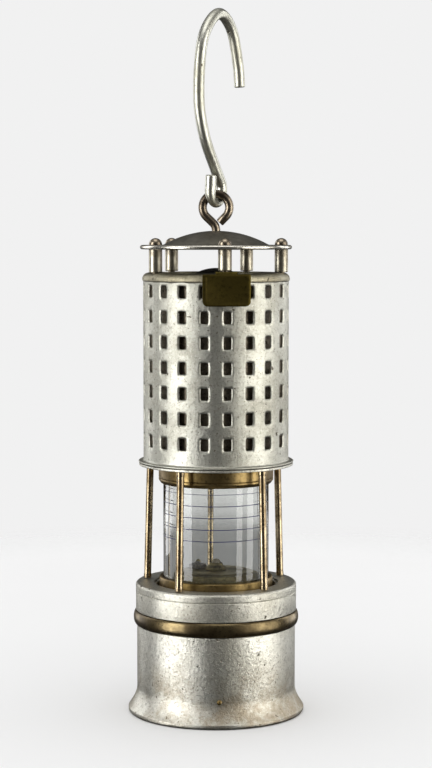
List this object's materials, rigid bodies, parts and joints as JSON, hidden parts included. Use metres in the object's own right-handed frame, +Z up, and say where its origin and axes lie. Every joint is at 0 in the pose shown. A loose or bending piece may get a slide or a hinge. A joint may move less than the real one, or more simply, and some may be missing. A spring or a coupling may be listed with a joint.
{
  "type": "miner's safety lamp",
  "caption": "Standing flame safety lamp with a fuel font, guarded glass cylinder, slotted bonnet, domed hood and a long swinging hook on a wire eye.",
  "frame": {"origin": "centre of the foot's rim, on the surface that the lamp stands on", "axes": "+Z up along the lamp's axis; -Y is the front, where the tag is; +X to the right seen from the front"},
  "size_m": [0.084, 0.084, 0.3335],
  "materials": {
    "aluminium": "worn satin, fine turning lines and small dark pits",
    "cap_aluminium": "worn satin, slightly yellowed",
    "hood_metal": "smoke-darkened, bright along the rolled rim",
    "hook_metal": "smooth, handled",
    "brass": "aged",
    "bronze": "dark, polished on the high spots",
    "tag_brass": "dark olive patina",
    "steel": "plain",
    "gauze": "fine woven wire, sooty",
    "glass": "clear, polished ends, thin blue ring lines",
    "rubber": "matt",
    "cotton": "loose cotton",
    "flint": "dull"
  },
  "bodies": {
    "font": {"font_shell": "aluminium", "font_bottom": "aluminium", "base_pin": "brass", "font_top": "brass", "bead_ring": "bronze", "cotton_packing": "cotton", "wick_tube": "brass", "lock_plug": "brass", "lock_spring": "steel", "flint_tube": "brass", "flint": "flint"},
    "lock_bolt": {"lock_bolt": "steel"},
    "filler_washer": {"filler_washer": "rubber"},
    "filler_cap": {"filler_cap": "brass"},
    "wick": {"wick": "cotton", "wick_carrier": "brass"},
    "wick_drive": {"wick_rod": "steel", "wick_knob": "brass"},
    "igniter": {"igniter_rod": "steel", "striker_wheel": "steel", "igniter_key": "brass"},
    "frame": {"lower_ring": "aluminium", "upper_ring": "aluminium", "pillar_1": "brass", "pillar_2": "brass", "pillar_3": "brass", "pillar_4": "brass", "pillar_5": "brass", "glass": "glass", "bottom_gasket": "rubber", "top_gasket": "rubber", "bottom_collar": "brass", "top_collar": "brass", "inner_gauze": "gauze", "outer_gauze": "gauze", "gauze_ring": "brass"},
    "bonnet": {"bonnet": "aluminium", "inner_shield": "aluminium", "bonnet_cap": "cap_aluminium", "hood": "hood_metal", "tag": "tag_brass", "hood_post_1": "bronze", "hood_post_2": "bronze", "hood_post_3": "bronze", "hood_post_4": "bronze", "hood_post_5": "bronze", "hood_rivet_1": "bronze", "hood_rivet_2": "bronze", "hood_rivet_3": "bronze", "hood_rivet_4": "bronze", "hood_rivet_5": "bronze"},
    "eye": {"eye": "bronze", "eye_washer": "bronze", "eye_nut": "bronze"},
    "hook": {"hook": "hook_metal"}
  },
  "joints": [
    {"name": "frame_lift", "type": "slide", "parent": "font", "child": "frame", "axis": [0, 0, 1], "range_m": [0, 0.06]},
    {"name": "bonnet_lift", "type": "slide", "parent": "frame", "child": "bonnet", "axis": [0, 0, 1], "range_m": [0, 0.095]},
    {"name": "eye_swivel", "type": "hinge", "parent": "bonnet", "child": "eye", "pos_m": [0, 0, 0.2223], "axis": [0, 0, 1], "continuous": true},
    {"name": "hook_swing", "type": "hinge", "parent": "eye", "child": "hook", "pos_m": [0, 0, 0.2465], "axis": [0.8829, -0.4695, 0], "range_deg": [-110, 95]},
    {"name": "wick_rise", "type": "slide", "parent": "font", "child": "wick", "axis": [0, 0, 1], "range_m": [-0.001, 0.003]},
    {"name": "wick_knob_turn", "type": "hinge", "parent": "font", "child": "wick_drive", "pos_m": [0.009, 0, 0.0045], "axis": [0, 0, 1], "range_deg": [-90, 270]},
    {"name": "igniter_turn", "type": "hinge", "parent": "font", "child": "igniter", "pos_m": [-0.009, 0.005, 0.0045], "axis": [0, 0, 1], "continuous": true},
    {"name": "filler_cap_travel", "type": "slide", "parent": "font", "child": "filler_washer", "axis": [0, 0, -1], "range_m": [0, 0.0027]},
    {"name": "filler_cap_turn", "type": "hinge", "parent": "filler_washer", "child": "filler_cap", "pos_m": [0, -0.02, 0.005], "axis": [0, 0, -1], "range_deg": [0, 1080]},
    {"name": "lock_bolt_draw", "type": "slide", "parent": "font", "child": "lock_bolt", "axis": [0, 0, -1], "range_m": [0, 0.0032], "stiffness_N_per_m": 400, "springref_m": -0.002, "deforming": ["lock_spring"]}
  ],
  "couplings": [
    {"joint": "wick_knob_turn", "follows": "wick_rise", "rad_per_m": 1570.8},
    {"joint": "filler_cap_turn", "follows": "filler_cap_travel", "rad_per_m": 6981.3}
  ]
}
